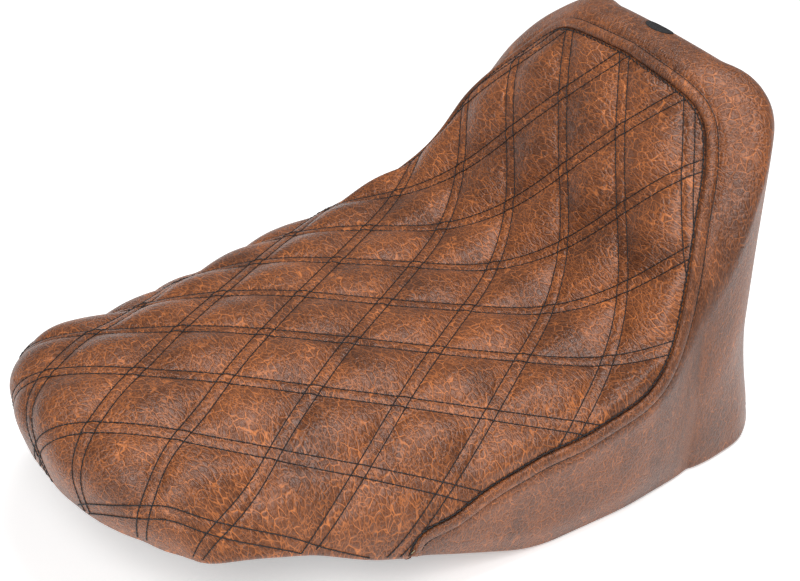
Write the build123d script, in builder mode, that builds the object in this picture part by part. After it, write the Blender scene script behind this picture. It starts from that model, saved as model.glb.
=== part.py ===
"""Solo motorcycle seat with a quilted top panel and a raised backrest bolster.

Millimetres. +X points to the tail, -Y is the rider's left and +Z is up. The origin is on the
centreline, on the surface that the seat stands on, at the middle of its overall length.
"""
from build123d import *

import os

os.makedirs("parts", exist_ok=True)

# Driving dimensions ---------------------------------------------------------------------
SKIN = 2.6  # leather-look vinyl with its fabric backing
SEW_FOAM = 6.0  # plush layer that is quilted to the top panel
GAP = 0.3  # air left between neighbouring layers
LAYER_GAP = 3.0  # air between the quilt's foam and the moulded foam
HEM = 1.2  # vinyl turned under the pan
HEM_WIDTH = 22.0
HEM_REACH = 105.0  # clears the hem up to the nose
PAN_WALL = 4.0  # moulded base pan
PAN_BACK = 246.0  # the pan stops short of the padded back
RIB = 3.0  # width of the pan's stiffening ribs
RIB_DEPTH = 8.0
RIB_Y = 54.0
STRAP = 3.0  # steel of both brackets
PLATE = 2.0  # steel backing plates
RIVET_R = 2.4
RIVET_HEAD_R = 5.0
RIVET_HEAD = 1.8
POCKET = 1.0  # air round hardware that is buried in the foam

# Cross-sections of the seat: x, height of the centreline, half width, corner power.
# A small corner power gives a boxy section and a large one a domed section.
SECTIONS = [
    (-276, 116, 34, 0.50),
    (-269, 132, 58, 0.55),
    (-253, 146, 91, 0.58),
    (-230, 147, 116, 0.60),
    (-202, 145, 134, 0.60),
    (-157, 142, 150, 0.60),
    (-107, 138, 166, 0.55),
    (-57, 132, 171, 0.34),
    (-7, 126, 173, 0.20),
    (43, 122, 175, 0.12),
    (85, 122, 176, 0.07),
    (107, 129, 174, 0.07),
    (127, 146, 171, 0.09),
    (143, 169, 168, 0.12),
    (163, 208, 165, 0.14),
    (183, 245, 162, 0.15),
    (206, 272, 156, 0.11),
    (230, 282, 144, 0.08),
    (247, 275, 124, 0.08),
    (256, 261, 104, 0.10),
]
NOSE = SECTIONS[0][0]
TAIL = SECTIONS[-1][0]
TUCK = 13.0  # how far the sides lean in towards the bottom edge
TUCK_SHARE = 0.3  # share of a section's height that leans in
TOP = 320.0  # above everything
TUNNEL_REACH = 150.0

# Bottom edge of the cover, from the nose to the back, and the radius of its bends
RIM = [(-320, 88), (-207, 76), (-91, 46), (-38, 21), (8, 0), (300, 0)]
RIM_BEND = 60.0
# Seam between the quilted panel and the band, seen from the side
SEAM = [(-104, 20), (-90, 60), (-65, 68), (-12, 83), (40, 91), (95, 101), (122, 114)]
SEAM += [(141, 133), (165, 177), (189, 218), (203, 247)]
SEAM_TOP = [(208, 262), (182, 285)]  # where it crosses the top of the backrest

# Hollow that the pan leaves over the frame and fender
ROOF = [(-240, 86), (-190, 90), (-30, 60), (300, 56)]  # its roof, from the side
HOLLOW = [(-240, 44), (-60, 102), (300, 104)]  # its half width, from above
HOLLOW_BEND = 60.0
HOLLOW_CORNER = 18.0

# Hardware
FRONT_PAD = (-192, 52, 44)  # middle x, length and width of the pan's flat pad
FRONT_PAD_Z = (82, 96)
FRONT_RIVETS = [(-205, -12), (-205, 12), (-178, -12), (-178, 12)]
TONGUE_DROP = 11.0  # how far the tongue steps down to hook under the frame
TONGUE_TIP = -246.0
TONGUE_HALF = 18.0
REAR_PAD = (181, 86, 44)
REAR_PAD_Z = (51, 60)
REAR_RIVETS = [(162, -10), (162, 10), (200, -10), (200, 10)]
REAR_STRAP_X = 158.0  # centre of the rear strap's inner round end
STRAP_HALF = 16.0  # half width of the rear strap and radius of its ends
STRAP_END_X = 260.0  # centre of its outer round end; the screw passes through that end
SCREW_X = 268.0
SCREW_R = 3.175  # quarter-inch seat screw
NECK_R = 2.5  # the screw's neck, which its retaining washer sits on
SCREW_HOLE_R = 3.7
SCREW_END_Z = 22.0
KNOB_R = 11.0
KNOB_H = 9.0
KNURLS = 30
WASHER_R = 7.5
WASHER_H = 2.0
WASHER_FIT = 0.06  # radial clearance of the neck in its retaining washer
CAPTIVE_TRAVEL = 6.0  # how far the screw lifts before the washer meets the strap
WASHER_TOP = REAR_PAD_Z[0] - STRAP - CAPTIVE_TRAVEL - GAP
THREAD_TOP = WASHER_TOP - WASHER_H - GAP
BUMPERS = [(-14, -34), (-14, 34), (52, -34), (52, 34), (118, -36), (118, 36)]
BUMPER_R = 11.0
BUMPER_H = 15.0
BUMPER_STEM_R = 3.5
BUMPER_BARB = 3.0  # how far the barb stands above the pan
BUMPER_SEAT = 3.0  # how far the pan's bosses stand below its roof
RIB_ROOF = [(-150, 82.5), (-30, 60), (235, 56.8)]
STAPLE_WIRE = 0.8
STAPLE_WIDTH = 10.0
STAPLE_PITCH = 30
STAPLE_INSET = 15.0
STAPLE_SUNK = 0.2  # how far the crown is pressed into the hem
STAPLE_LEG = 4.6


def between(table, x):
    """Straight-line reading of a table of (x, value, ...) rows, as a list of values."""
    for low, high in zip(table, table[1:]):
        if x <= high[0]:
            share = max(0.0, (x - low[0]) / (high[0] - low[0]))
            return [a + (b - a) * share for a, b in zip(low[1:], high[1:])]
    return list(table[-1][1:])


def rim_z(x):
    return between(RIM, x)[0]


def arch(half, height, base, power):
    """One section's outline from its left bottom corner over the top to the right one."""
    side = []
    for level in (0.0, 0.3, 0.55, 0.75, 0.88, 0.95, 0.985):
        y = half * (1 - level ** (1 / power)) ** (1 / 2.8)
        y -= TUCK * max(0.0, 1 - level / TUCK_SHARE)
        side.append((y, base + level * height))
    left = [(-y, z) for y, z in side]
    return left + [(0.0, base + height)] + side[::-1]


def inset_section(index, inset):
    """A section's place, height and half width once its profile has moved inward by inset."""
    x, top, half, power = SECTIONS[index]
    before = SECTIONS[max(index - 1, 0)]
    after = SECTIONS[min(index + 1, len(SECTIONS) - 1)]
    run = Vector(after[0] - before[0], after[1] - before[1]).normalized()
    return x + run.Y * inset, top - run.X * inset, half - inset, power


def envelope(inset):
    """The seat's outer shape shrunk by inset all round and run on below the rim."""
    with BuildPart() as solid:
        for index in range(len(SECTIONS)):
            x, top, half, power = inset_section(index, inset)
            base = rim_z(x) - 15
            outline = arch(half, top - base, base, power)
            with BuildSketch(Plane.YZ.offset(x)):
                with BuildLine():
                    Spline(*outline)
                    Line(outline[-1], outline[0])
                make_face()
        loft()
    return solid.part


def hem_opening():
    """What the turned-under hem leaves open, seen from below."""
    squeeze = 1 - 2 * HEM_WIDTH / (TAIL - NOSE)
    middle = (NOSE + TAIL) / 2
    edge = [(middle + (x - middle) * squeeze, half - HEM_WIDTH) for x, _, half, _ in SECTIONS]
    with BuildPart() as solid:
        with BuildSketch(Plane.XY.offset(-10)):
            with BuildLine():
                Spline(*edge)
                Spline(*[(x, -y) for x, y in edge])
                Line((edge[0][0], -edge[0][1]), edge[0])
                Line((edge[-1][0], -edge[-1][1]), edge[-1])
            make_face()
        extrude(amount=HEM_REACH)
    return solid.part


def tunnel(grow):
    """The hollow under the pan, grown outward by grow."""
    front = ROOF[0][0] - grow
    with BuildPart() as solid:
        with BuildSketch(Plane.XZ):
            with BuildLine():
                roof = FilletPolyline(
                    (front, ROOF[0][1] + grow),
                    *[(x, z + grow) for x, z in ROOF[1:]],
                    radius=HOLLOW_BEND,
                )
                Polyline(roof @ 1, (ROOF[-1][0], -40), (front, -40), roof @ 0)
            make_face()
        extrude(amount=TUNNEL_REACH, both=True)
        with BuildSketch(Plane.XY.offset(-60)):
            for side in (-1, 1):
                with BuildLine():
                    wall = FilletPolyline(
                        (front, side * (HOLLOW[0][1] + grow)),
                        *[(x, side * (y + grow)) for x, y in HOLLOW[1:]],
                        radius=HOLLOW_BEND,
                    )
                    Polyline(wall @ 1, (HOLLOW[-1][0], 0), (front, 0), wall @ 0)
                make_face()
        extrude(amount=200, mode=Mode.INTERSECT)
        corners = solid.edges().filter_by_position(Axis.Z, 40, 200)
        fillet(corners.filter_by(Axis.Y, reverse=True), HOLLOW_CORNER + grow)
    return solid.part


def above_rim(lift):
    """Everything higher than the cover's bottom edge raised by lift."""
    edge = [(x, z + lift) for x, z in RIM]
    with BuildPart() as block:
        with BuildSketch(Plane.XZ):
            with BuildLine():
                bottom = FilletPolyline(*edge, radius=RIM_BEND)
                Polyline(bottom @ 1, (RIM[-1][0], TOP), (RIM[0][0], TOP), bottom @ 0)
            make_face()
        extrude(amount=220, both=True)
    return block.part


def panel_zone():
    """Everything on the panel's side of the seam."""
    with BuildPart() as block:
        with BuildSketch(Plane.XZ):
            with BuildLine():
                Spline(*SEAM, SEAM_TOP[0])
                Polyline(SEAM_TOP[0], SEAM_TOP[1], (150, TOP), (-320, TOP), (-320, 20), SEAM[0])
            make_face()
        extrude(amount=220, both=True)
    return block.part


def boss_z(x):
    """Level of the flat bosses that the rubber bumpers sit against."""
    return between(ROOF, x)[0] - PAN_WALL - BUMPER_SEAT


def upright(places, radius, low, high):
    """Upright cylinders between two heights at each (x, y) place."""
    with BuildPart() as group:
        with BuildSketch(Plane.XY.offset(low)):
            with Locations(*places):
                Circle(radius)
        extrude(amount=high - low)
    return group.part


def slab(pad, low, high, grow=0.0):
    """A rounded rectangular slab given as its middle x, length and width."""
    x, length, width = pad
    with BuildPart() as solid:
        with BuildSketch(Plane.XY.offset(low)):
            with Locations((x, 0)):
                RectangleRounded(length + 2 * grow, width + 2 * grow, 5)
        extrude(amount=high - low)
    return solid.part


# Shapes shared by several pieces --------------------------------------------------------
outside = envelope(0)
under_skin = envelope(SKIN + GAP)
panel_side = panel_zone()
over_flange = above_rim(HEM + PAN_WALL + GAP)

# Cover: one skin in two pieces that meet at the seam -------------------------------------
with BuildPart() as cover:
    add(outside)
    add(above_rim(0), mode=Mode.INTERSECT)
    add(envelope(SKIN) & above_rim(HEM), mode=Mode.SUBTRACT)
    add(hem_opening(), mode=Mode.SUBTRACT)
    add(tunnel(GAP), mode=Mode.SUBTRACT)

with BuildPart() as quilted_panel:
    add(cover.part)
    add(panel_side, mode=Mode.INTERSECT)
quilted_panel.part.label = "quilted_panel"
export_step(quilted_panel.part, "parts/quilted_panel.step")

with BuildPart() as cover_band:
    add(cover.part)
    add(panel_side, mode=Mode.SUBTRACT)
cover_band.part.label = "cover_band"
export_step(cover_band.part, "parts/cover_band.step")

# Plush foam that is quilted to the back of the panel, clear of the seam -------------------
with BuildPart() as quilt_foam:
    add(under_skin)
    add(over_flange, mode=Mode.INTERSECT)
    add(envelope(SKIN + SEW_FOAM + GAP), mode=Mode.SUBTRACT)
    add(panel_side.moved(Location((-3, 0, 1))), mode=Mode.INTERSECT)
quilt_foam.part.label = "quilt_foam"
export_step(quilt_foam.part, "parts/quilt_foam.step")

# Moulded seat foam, stepped back under the quilt and hollow over the pan ------------------
with BuildPart() as seat_foam:
    add(under_skin)
    add(over_flange, mode=Mode.INTERSECT)
    quilt_space = outside - envelope(SKIN + SEW_FOAM + GAP + LAYER_GAP)
    add(quilt_space & panel_side.moved(Location((3, 0, -1))), mode=Mode.SUBTRACT)
    add(tunnel(GAP), mode=Mode.SUBTRACT)
    for pad, levels, plate in ((FRONT_PAD, FRONT_PAD_Z, PLATE), (REAR_PAD, REAR_PAD_Z, PLATE)):
        top = levels[1] + plate + RIVET_HEAD + POCKET
        add(slab(pad, levels[0], top, POCKET), mode=Mode.SUBTRACT)
    for x, y in BUMPERS:
        top = between(ROOF, x)[0] + BUMPER_BARB + POCKET
        add(upright([(x, y)], BUMPER_STEM_R + 3 * POCKET, top - 20, top), mode=Mode.SUBTRACT)
seat_foam.part.label = "seat_foam"
export_step(seat_foam.part, "parts/seat_foam.step")

# Base pan: flange round the rim, tunnel, pads, bosses and ribs ----------------------------
with BuildPart() as base_pan:
    add(under_skin)
    add(above_rim(HEM), mode=Mode.INTERSECT)
    add(above_rim(HEM + PAN_WALL) - tunnel(0), mode=Mode.SUBTRACT)
    add(tunnel(-PAN_WALL), mode=Mode.SUBTRACT)
    with BuildSketch(Plane.XZ.offset(-RIB_Y - RIB / 2)):
        with BuildLine():
            middle = [(x, z - PAN_WALL + 0.5) for x, z in RIB_ROOF]
            lower = [(x, z - PAN_WALL - RIB_DEPTH) for x, z in reversed(RIB_ROOF)]
            Polyline(*middle, *lower, close=True)
        make_face()
    ribs = extrude(amount=RIB)
    mirror(ribs, about=Plane.XZ)
    add(slab(FRONT_PAD, *FRONT_PAD_Z))
    add(slab(REAR_PAD, *REAR_PAD_Z))
    for x, y in BUMPERS:
        add(upright([(x, y)], BUMPER_R + 1.5, boss_z(x), boss_z(x) + PAN_WALL + 1))
    add(upright(FRONT_RIVETS + REAR_RIVETS, RIVET_R, 40, 120), mode=Mode.SUBTRACT)
    add(upright(BUMPERS, BUMPER_STEM_R, 30, 100), mode=Mode.SUBTRACT)
    split(bisect_by=Plane.YZ.offset(PAN_BACK), keep=Keep.BOTTOM)
base_pan.part.label = "base_pan"
export_step(base_pan.part, "parts/base_pan.step")

# Rubber bumpers: a tapered foot, a stem through the pan and a barb over it ----------------
for number, (x, y) in enumerate(BUMPERS, start=1):
    seat = boss_z(x)
    stem_top = between(ROOF, x)[0] + 0.6
    with BuildPart() as bumper:
        with BuildSketch(Plane.XZ.offset(-y)):
            with BuildLine():
                Polyline(
                    (x, seat - BUMPER_H),
                    (x + BUMPER_R * 0.72, seat - BUMPER_H),
                    (x + BUMPER_R, seat),
                    (x + BUMPER_STEM_R, seat),
                    (x + BUMPER_STEM_R, stem_top),
                    (x + BUMPER_STEM_R + 1.8, stem_top),
                    (x + BUMPER_STEM_R - 0.8, stem_top + BUMPER_BARB - 0.6),
                    (x, stem_top + BUMPER_BARB - 0.6),
                    close=True,
                )
            make_face()
        revolve(axis=Axis((x, y, 0), (0, 0, 1)))
        foot = bumper.edges().filter_by(GeomType.CIRCLE).sort_by(Axis.Z)[0]
        fillet(foot, 2.5)
    bumper.part.label = f"bumper_{number}"
    export_step(bumper.part, f"parts/bumper_{number}.step")

# Front bracket: a strap whose tongue steps down to hook under the frame -------------------
with BuildPart() as front_bracket:
    strap_top = FRONT_PAD_Z[0]
    with BuildSketch(Plane.XZ):
        with BuildLine():
            spine = FilletPolyline(
                (FRONT_PAD[0] + FRONT_PAD[1] / 2 - 3, strap_top - STRAP / 2),
                (TONGUE_TIP + 35, strap_top - STRAP / 2),
                (TONGUE_TIP + 24, strap_top - STRAP / 2 - TONGUE_DROP),
                (TONGUE_TIP, strap_top - STRAP / 2 - TONGUE_DROP),
                radius=5,
            )
            offset(amount=STRAP / 2, side=Side.BOTH, kind=Kind.INTERSECTION)
        make_face()
    extrude(amount=TONGUE_HALF, both=True)
    strap_end = FRONT_PAD[0] + FRONT_PAD[1] / 2 - 3
    with BuildSketch(Plane.XY.offset(strap_top - 30)):
        with Locations(((TONGUE_TIP + strap_end) / 2, 0)):
            RectangleRounded(strap_end - TONGUE_TIP, 2 * TONGUE_HALF, 8)
    extrude(amount=40, mode=Mode.INTERSECT)
    add(upright(FRONT_RIVETS, RIVET_R, 60, 100), mode=Mode.SUBTRACT)
front_bracket.part.label = "front_bracket"
export_step(front_bracket.part, "parts/front_bracket.step")

# Rear bracket: a flat strap that runs out of the back to the fender screw -----------------
with BuildPart() as rear_bracket:
    with BuildSketch(Plane.XY.offset(REAR_PAD_Z[0] - STRAP)):
        with Locations(((REAR_STRAP_X + STRAP_END_X) / 2, 0)):
            SlotCenterToCenter(STRAP_END_X - REAR_STRAP_X, 2 * STRAP_HALF)
        with Locations((SCREW_X, 0)):
            Circle(SCREW_HOLE_R, mode=Mode.SUBTRACT)
        with Locations(*REAR_RIVETS):
            Circle(RIVET_R, mode=Mode.SUBTRACT)
    extrude(amount=STRAP)
    chamfer(rear_bracket.edges().filter_by(GeomType.CIRCLE).group_by(Axis.X)[-1], 0.4)
rear_bracket.part.label = "rear_bracket"
export_step(rear_bracket.part, "parts/rear_bracket.step")

# Backing plates on the foam side of the pan ------------------------------------------------
with BuildPart() as front_backing_plate:
    add(slab(FRONT_PAD, FRONT_PAD_Z[1], FRONT_PAD_Z[1] + PLATE, -1))
    add(upright(FRONT_RIVETS, RIVET_R, 80, 120), mode=Mode.SUBTRACT)
front_backing_plate.part.label = "front_backing_plate"
export_step(front_backing_plate.part, "parts/front_backing_plate.step")

with BuildPart() as rear_backing_plate:
    add(slab(REAR_PAD, REAR_PAD_Z[1], REAR_PAD_Z[1] + PLATE, -1))
    add(upright(REAR_RIVETS, RIVET_R, 40, 80), mode=Mode.SUBTRACT)
rear_backing_plate.part.label = "rear_backing_plate"
export_step(rear_backing_plate.part, "parts/rear_backing_plate.step")


# Rivets through strap, pan and backing plate -----------------------------------------------
def rivets(places, low, high):
    """A group of rivets whose heads close on the levels low and high."""
    with BuildPart() as group:
        add(upright(places, RIVET_R, low, high))
        add(upright(places, RIVET_HEAD_R, low - RIVET_HEAD, low))
        add(upright(places, RIVET_HEAD_R, high, high + RIVET_HEAD))
        rims = group.edges().filter_by(GeomType.CIRCLE)
        fillet(rims.group_by(Axis.Z)[0] + rims.group_by(Axis.Z)[-1], RIVET_HEAD * 0.7)
    return group.part


front_rivets = rivets(FRONT_RIVETS, FRONT_PAD_Z[0] - STRAP, FRONT_PAD_Z[1] + PLATE)
front_rivets.label = "front_rivets"
export_step(front_rivets, "parts/front_rivets.step")

rear_rivets = rivets(REAR_RIVETS, REAR_PAD_Z[0] - STRAP, REAR_PAD_Z[1] + PLATE)
rear_rivets.label = "rear_rivets"
export_step(rear_rivets, "parts/rear_rivets.step")

# Captive seat screw with a knurled knob, and the washer that keeps it on the strap ---------
with BuildPart() as seat_screw:
    with Locations((SCREW_X, 0, REAR_PAD_Z[0])):
        Cylinder(KNOB_R, KNOB_H, align=(Align.CENTER, Align.CENTER, Align.MIN))
    knob_rims = seat_screw.edges().filter_by(GeomType.CIRCLE).group_by(Axis.Z)
    chamfer(knob_rims[-1], 1.2)
    chamfer(knob_rims[0], 0.6)
    with BuildSketch(Plane.XY.offset(REAR_PAD_Z[0])):
        with Locations((SCREW_X, 0)):
            with PolarLocations(KNOB_R + 0.35, KNURLS):
                Circle(0.8)
    extrude(amount=KNOB_H, mode=Mode.SUBTRACT)
    with BuildSketch(Plane.XY.offset(REAR_PAD_Z[0] + KNOB_H)):
        with Locations((SCREW_X, 0)):
            Rectangle(2 * KNOB_R - 6, 1.6)
    extrude(amount=-2, mode=Mode.SUBTRACT)
    add(upright([(SCREW_X, 0)], SCREW_R, SCREW_END_Z, THREAD_TOP))
    add(upright([(SCREW_X, 0)], NECK_R, THREAD_TOP, REAR_PAD_Z[0]))
    chamfer(seat_screw.edges().filter_by(GeomType.CIRCLE).sort_by(Axis.Z)[0], 0.8)
seat_screw.part.label = "seat_screw"
export_step(seat_screw.part, "parts/seat_screw.step")

with BuildPart() as retaining_washer:
    with BuildSketch(Plane.XY.offset(WASHER_TOP - WASHER_H)):
        with Locations((SCREW_X, 0)):
            Circle(WASHER_R)
            Circle(NECK_R + WASHER_FIT, mode=Mode.SUBTRACT)
    extrude(amount=WASHER_H)
retaining_washer.part.label = "retaining_washer"
export_step(retaining_washer.part, "parts/retaining_washer.step")


# Staples that hold the hem to the flange, a group of separate wire staples -----------------
def staple_places():
    """Where the staples go, as (x, y, runs fore and aft)."""
    places = []
    for side in (-1, 1):
        for x in range(-250, 230, STAPLE_PITCH):
            places.append((x, side * (between(SECTIONS, x)[1] - STAPLE_INSET), False))
        for y in (112, 132):
            places.append((TAIL - STAPLE_INSET, side * y, True))
    return places


with BuildPart() as cover_staples:
    reach = (STAPLE_WIDTH - STAPLE_WIRE) / 2
    for x, y, fore_aft in staple_places():
        crown = (STAPLE_WIDTH, STAPLE_WIRE) if fore_aft else (STAPLE_WIRE, STAPLE_WIDTH)
        step_x, step_y = (reach, 0) if fore_aft else (0, reach)
        with BuildSketch(Plane.XY.offset(rim_z(x) + STAPLE_SUNK)):
            with Locations((x, y)):
                Rectangle(*crown)
        extrude(amount=STAPLE_WIRE)
        with BuildSketch(Plane.XY.offset(rim_z(x) + STAPLE_SUNK)):
            with Locations((x - step_x, y - step_y), (x + step_x, y + step_y)):
                Rectangle(STAPLE_WIRE, STAPLE_WIRE)
        extrude(amount=STAPLE_LEG)
cover_staples.part.label = "cover_staples"
export_step(cover_staples.part, "parts/cover_staples.step")
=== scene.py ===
"""Looks of the solo motorcycle seat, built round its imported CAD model.

Shapes are worked out in millimetres in the model's own frame (+X to the tail, -Y the rider's left,
+Z up) and become metres when a mesh is made. The quilted panel is laid out flat first: its flat
coordinates are `along`, from the front row of diamond corners towards the tail, and `across`, from
the centreline to the rider's right, both measured over the vinyl.
"""
import math

import bpy
import numpy as np
from mathutils import Matrix, Vector
from mathutils.bvhtree import BVHTree
from mathutils.geometry import delaunay_2d_cdt
from mathutils.kdtree import KDTree


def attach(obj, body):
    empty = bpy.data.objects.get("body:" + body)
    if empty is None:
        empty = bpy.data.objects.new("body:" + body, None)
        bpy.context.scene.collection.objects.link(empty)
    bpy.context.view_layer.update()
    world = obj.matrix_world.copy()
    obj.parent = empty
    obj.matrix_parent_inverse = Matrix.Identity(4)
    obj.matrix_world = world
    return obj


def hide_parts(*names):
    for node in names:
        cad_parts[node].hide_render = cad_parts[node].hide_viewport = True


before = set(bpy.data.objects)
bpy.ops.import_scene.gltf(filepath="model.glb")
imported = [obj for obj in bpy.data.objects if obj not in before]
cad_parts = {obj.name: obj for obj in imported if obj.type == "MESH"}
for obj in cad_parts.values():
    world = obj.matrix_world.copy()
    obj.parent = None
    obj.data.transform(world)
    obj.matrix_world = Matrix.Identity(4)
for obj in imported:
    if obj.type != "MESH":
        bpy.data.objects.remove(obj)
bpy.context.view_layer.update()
MM = 0.001

# Quilting ---------------------------------------------------------------------------------
ROW = 48.9  # from one row of diamond corners to the next, along the seat
SLANT = 1.436  # how far a sewn line runs along the seat for each step across it
GAUGE = 4.2  # from a sewn line's middle to each of its two rows of stitches
PITCH = 3.7  # length of one quilting stitch
LINE_STEP = 2 * ROW  # along the seat, between neighbouring lines that run the same way
LINE_GAP = LINE_STEP / math.hypot(1, SLANT)  # the same, square to the lines
PUFF = 5.6  # how far a diamond stands above its stitches
MESH = 2.0  # spacing of the panel's mesh

# Centre profile of the seat by row, as (row, x, z), at the level of the stitches
PROFILE = [
    (-1.0, -276, 59), (0, -279.5, 108), (1, -254.6, 144.5), (2, -205.1, 141), (3, -156, 138.4),
    (4, -106.8, 134), (5, -57.4, 128.4), (6, -7.7, 121.9), (7, 42.6, 116.9),
    (8, 91.1, 117.2), (9, 130.5, 141.4), (10, 154, 182.6), (11, 177.3, 225),
    (12, 205.4, 265.5), (12.5, 219, 286),
]
# Cross-section by row: half width, drop at the side, and the two powers of its curve
SHAPE = [
    (-1.0, 120, 100, 2.2, 0.50), (0, 120, 100, 2.2, 0.50), (1, 130, 94, 1.9, 0.54),
    (2, 141, 84, 2.3, 0.56), (3, 147, 80, 1.85, 0.47), (4, 166, 80, 2.1, 0.52),
    (6, 181, 101, 3.06, 0.28), (8, 186, 92, 3.32, 0.12), (10, 162, 103, 5.0, 0.12),
    (12, 114, 81, 3.7, 0.32), (12.5, 112, 80, 3.7, 0.32),
]
# Round nose, by angle from straight ahead: reach from its middle, level of the widest place,
# and the two powers of the curve over it
NOSE_ROW = 3.0
NOSE = [
    (0, 123.5, 112, 9.0, 0.50), (16, 126, 111, 7.0, 0.50), (28.5, 129.8, 108, 5.0, 0.50),
    (36, 132, 105, 4.0, 0.50), (44, 135.5, 101, 3.3, 0.50), (53, 140.5, 96, 2.8, 0.50),
    (61, 143, 89, 2.4, 0.50), (67, 143, 83, 2.2, 0.50), (80, 143.5, 68, 1.95, 0.48),
    (90, 147, 58, 1.85, 0.47),
]
NOSE_BLEND = (1.0, 2.6)  # rows between which the round nose gives way to the cross-sections
NOSE_FLARE = (46, 44, 4.2)  # past 46 degrees, over the next 44, its rays lag by up to 4.2 degrees
NOSE_FLOOR = 86.0  # level of its bottom edge
NOSE_TUCK = 3.0  # how far it draws in from its widest place to the bottom edge
NOSE_SKEW = 0.04  # how much its right side runs ahead of its left side
NOSE_RISE = 7.0  # how much higher the front of the seat is than the nose's middle
# Seam between the panel and the band, as (row, across)
SEAM = [
    (4.36, 214), (4.5, 194), (5, 190), (5.5, 184), (6, 180), (6.5, 178), (7, 179), (7.5, 177),
    (8, 175), (8.5, 168), (9, 157), (9.5, 147), (10, 138.5), (10.5, 128), (11, 115.5),
    (11.45, 101), (11.7, 90), (11.86, 76), (11.93, 60), (11.98, 30), (12.02, 0),
]
# Bottom edge of the cover as (x, z), and how it turns under
RIM = [(-320, 88), (-207, 76), (-91, 46), (-38, 21), (8, 0), (300, 0)]
ROLL = 4.0
HEM = 24.0  # vinyl turned under
RIM_SPREAD = 18  # the bottom edge's bends are rounded over this far each way
SKIN = 1.1  # thickness of the vinyl

# Band -------------------------------------------------------------------------------------
PIVOT = (158.0, 60.0)  # the band's ribs fan out round this point at each rear corner
# Side ribs by x: bulge below the seam, half widths there, at the waist and at the rim, angle
SIDE = [
    (-110, 6, 166, 166, 167, -62), (-90, 8, 168.5, 168.5, 168.5, -62), (-60, 14, 171, 171, 169.5, -60),
    (-5, 33, 172.5, 172.5, 169.5, -60), (40, 33, 175, 175, 170.5, -58), (85, 28, 176, 176, 171.5, -54),
    (120, 34, 172, 172.5, 169, -50), (141, 42, 165, 168.5, 167, -50), (158, 48, 159, 163, 164, -50),
]
# Corner and back ribs by angle: level of the crest, reach there, at the waist, at the rim, angle
CORNER = [
    (0, 130, 99, 103, 105, -50), (17, 165, 99, 103, 109, -42), (32, 205, 100, 102, 114.5, -20),
    (50, 232, 103, 100, 113.5, 10), (68, 244, 109, 97, 105, 32), (80, 250, 106, 94, 97, 45),
    (90, 252, 98.5, 91, 91, 52),
]
OVAL = (238.0, 8.0, 13.0)  # middle x of the stitched oval, half length and half width
BAND_STEP = 2.0  # spacing of the ribs
NEAR_RINGS = 18  # mesh rings close to the seam
NEAR = 17.0  # how far they reach
FAR_RINGS = 96
FOLD = 9.0  # from the seam to the topstitch
FOLD_HEIGHT = 2.3
DITCH = 0.9  # depth of the groove at the seam

# Thread: radius and how far the stitches stand up
QUILTING_THREAD = (0.46, 0.22)
SEAM_THREAD = (0.52, 0.40)
TOPSTITCH_THREAD = (0.38, 0.22)
OVAL_THREAD = (0.50, 0.40)
SEAM_PITCH = 4.4
TOPSTITCH_PITCH = 4.0
OVAL_PITCH = 0.85

# Foam -------------------------------------------------------------------------------------
FOAM_INSET = 26.0  # from the panel's edge to the edge of the foam sewn to it
FOAM_STEP = 5.0  # spacing of its mesh
FOAM_GAP = 2.2  # from the vinyl's back to the foam
FOAM_DEPTH = 3.2  # least depth under the panel's outside
FOAM_THICKNESS = 2.4
PRESS_REACH = 60.0  # foam further than this from a skin is left as it is
CORE_CLEAR = (8.5, 5.0)  # how deep the moulded foam lies under the panel and under the band
FLANGE_TOP = 6.0  # how far the pan's flange, which the moulded foam sits on, stands above the rim


def natural_cubic(rows):
    """Curves through rows of (place, value, ...): a function of place giving values or slopes."""
    rows = np.asarray(rows, float)
    at, values = rows[:, 0], rows[:, 1:]
    step = np.diff(at)[:, None]
    rise = np.diff(values, axis=0) / step
    system = np.eye(len(at))
    right = np.zeros_like(values)
    for k in range(1, len(at) - 1):
        before, after = step[k - 1, 0], step[k, 0]
        system[k, k - 1:k + 2] = before, 2 * (before + after), after
        right[k] = 6 * (rise[k] - rise[k - 1])
    bend = np.linalg.solve(system, right)

    def read(place, slope=False):
        place = np.asarray(place, float)
        k = np.clip(np.searchsorted(at, place) - 1, 0, len(at) - 2)
        h = step[k]
        b = (place[..., None] - at[k][..., None]) / h
        a = 1 - b
        if slope:
            return rise[k] + ((3 * b * b - 1) * bend[k + 1] - (3 * a * a - 1) * bend[k]) * h / 6
        bow = (a**3 - a) * bend[k] + (b**3 - b) * bend[k + 1]
        return a * values[k] + b * values[k + 1] + bow * h * h / 6

    return read


def steady(rows):
    """Like natural_cubic but without overshoot, for tables whose values level off."""
    rows = np.asarray(rows, float)
    at, values = rows[:, 0], rows[:, 1:]
    step = np.diff(at)[:, None]
    rise = np.diff(values, axis=0) / step
    slope = np.zeros_like(values)
    slope[0], slope[-1] = rise[0], rise[-1]
    product = rise[1:] * rise[:-1]
    total = rise[1:] + rise[:-1]
    slope[1:-1] = np.where(product > 0, 2 * product / np.where(total == 0, 1, total), 0)

    def read(place):
        place = np.clip(np.asarray(place, float), at[0], at[-1])
        k = np.clip(np.searchsorted(at, place) - 1, 0, len(at) - 2)
        h = step[k]
        b = (place[..., None] - at[k][..., None]) / h
        low = (1 + 2 * b) * (1 - b) ** 2 * values[k] + b * (1 - b) ** 2 * h * slope[k]
        return low + b * b * (3 - 2 * b) * values[k + 1] - b * b * (1 - b) * h * slope[k + 1]

    return read


def smoothstep(value):
    value = np.clip(value, 0, 1)
    return value * value * (3 - 2 * value)


def unit(vectors):
    return vectors / np.maximum(np.linalg.norm(vectors, axis=-1, keepdims=True), 1e-9)


profile = natural_cubic(PROFILE)
shape = steady(SHAPE)
rim_table = np.array(RIM, float)


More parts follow.
